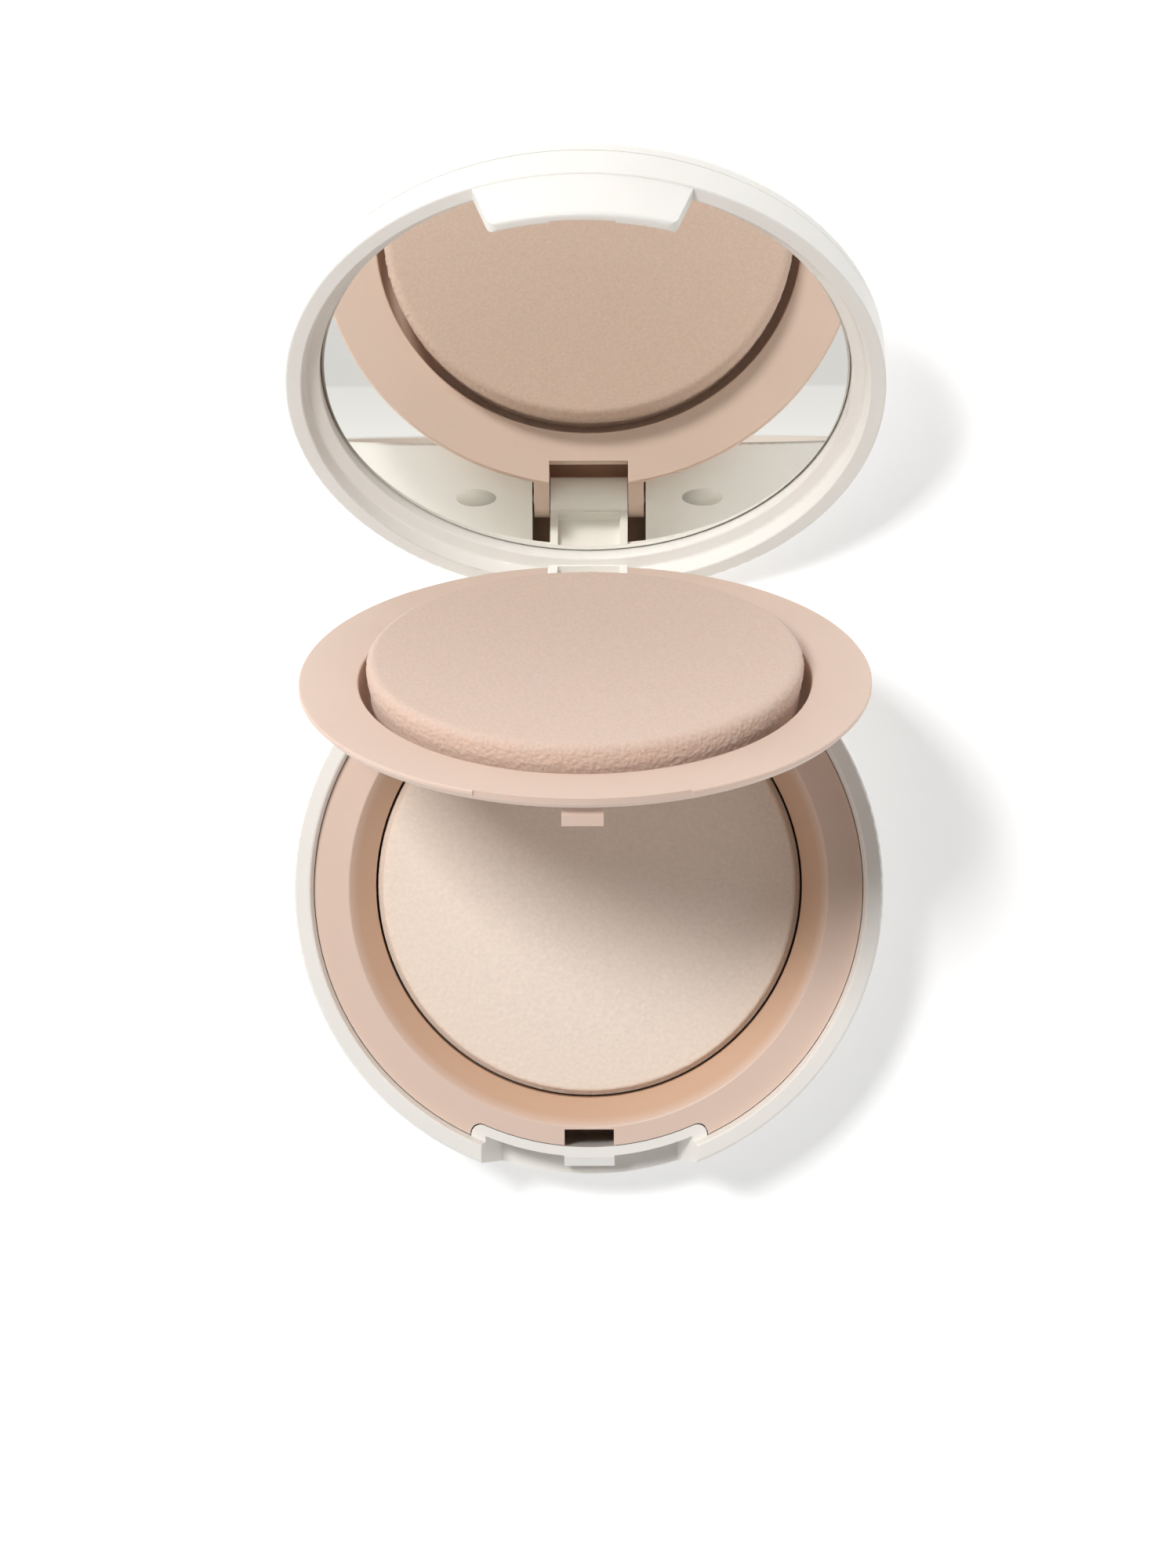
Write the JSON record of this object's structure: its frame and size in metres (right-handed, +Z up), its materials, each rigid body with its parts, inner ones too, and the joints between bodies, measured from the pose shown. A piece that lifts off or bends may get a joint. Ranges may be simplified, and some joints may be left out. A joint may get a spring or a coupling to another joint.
{
  "type": "powder compact",
  "caption": "Round powder compact, open: drum base with pressed powder, hinged tray holding a foam puff, and a hinged mirror lid with a snap tab.",
  "frame": {"origin": "centre of the flat underside of the base", "axes": "+Z up out of the open base, +Y towards the hinge, -Y towards the latch notch, +X to the user's right"},
  "size_m": [0.075, 0.1309, 0.0783],
  "materials": {
    "ivory_shell": "fine satin moulding",
    "blush_plastic": "satin moulding",
    "pin_steel": "drawn wire",
    "pan_aluminium": "pressed sheet",
    "pressed_powder": "pressed, fine leather-like grain",
    "puff_foam": "open-cell foam with a brushed skin",
    "adhesive": "clear adhesive film",
    "mirror_glass": "polished"
  },
  "bodies": {
    "base": {"base_shell": "ivory_shell", "refill_case": "blush_plastic", "pan_adhesive": "adhesive", "powder_pan": "pan_aluminium", "powder_cake": "pressed_powder", "hinge_pin_left": "pin_steel", "hinge_pin_right": "pin_steel"},
    "tray": {"tray": "blush_plastic", "puff": "puff_foam"},
    "lid": {"lid_frame": "ivory_shell", "lid_cover": "ivory_shell", "mirror": "mirror_glass", "mirror_tape": "adhesive"}
  },
  "joints": [
    {"name": "lid_hinge", "type": "hinge", "parent": "base", "child": "lid", "pos_m": [0, 0.0342, 0.0113], "axis": [1, 0, 0], "range_deg": [0, 135]},
    {"name": "tray_hinge", "type": "hinge", "parent": "base", "child": "tray", "pos_m": [0, 0.0342, 0.0113], "axis": [1, 0, 0], "range_deg": [0, 69]}
  ],
  "couplings": [
    {"joint": "tray_hinge", "follows": "lid_hinge", "ratio": 0.51111}
  ]
}
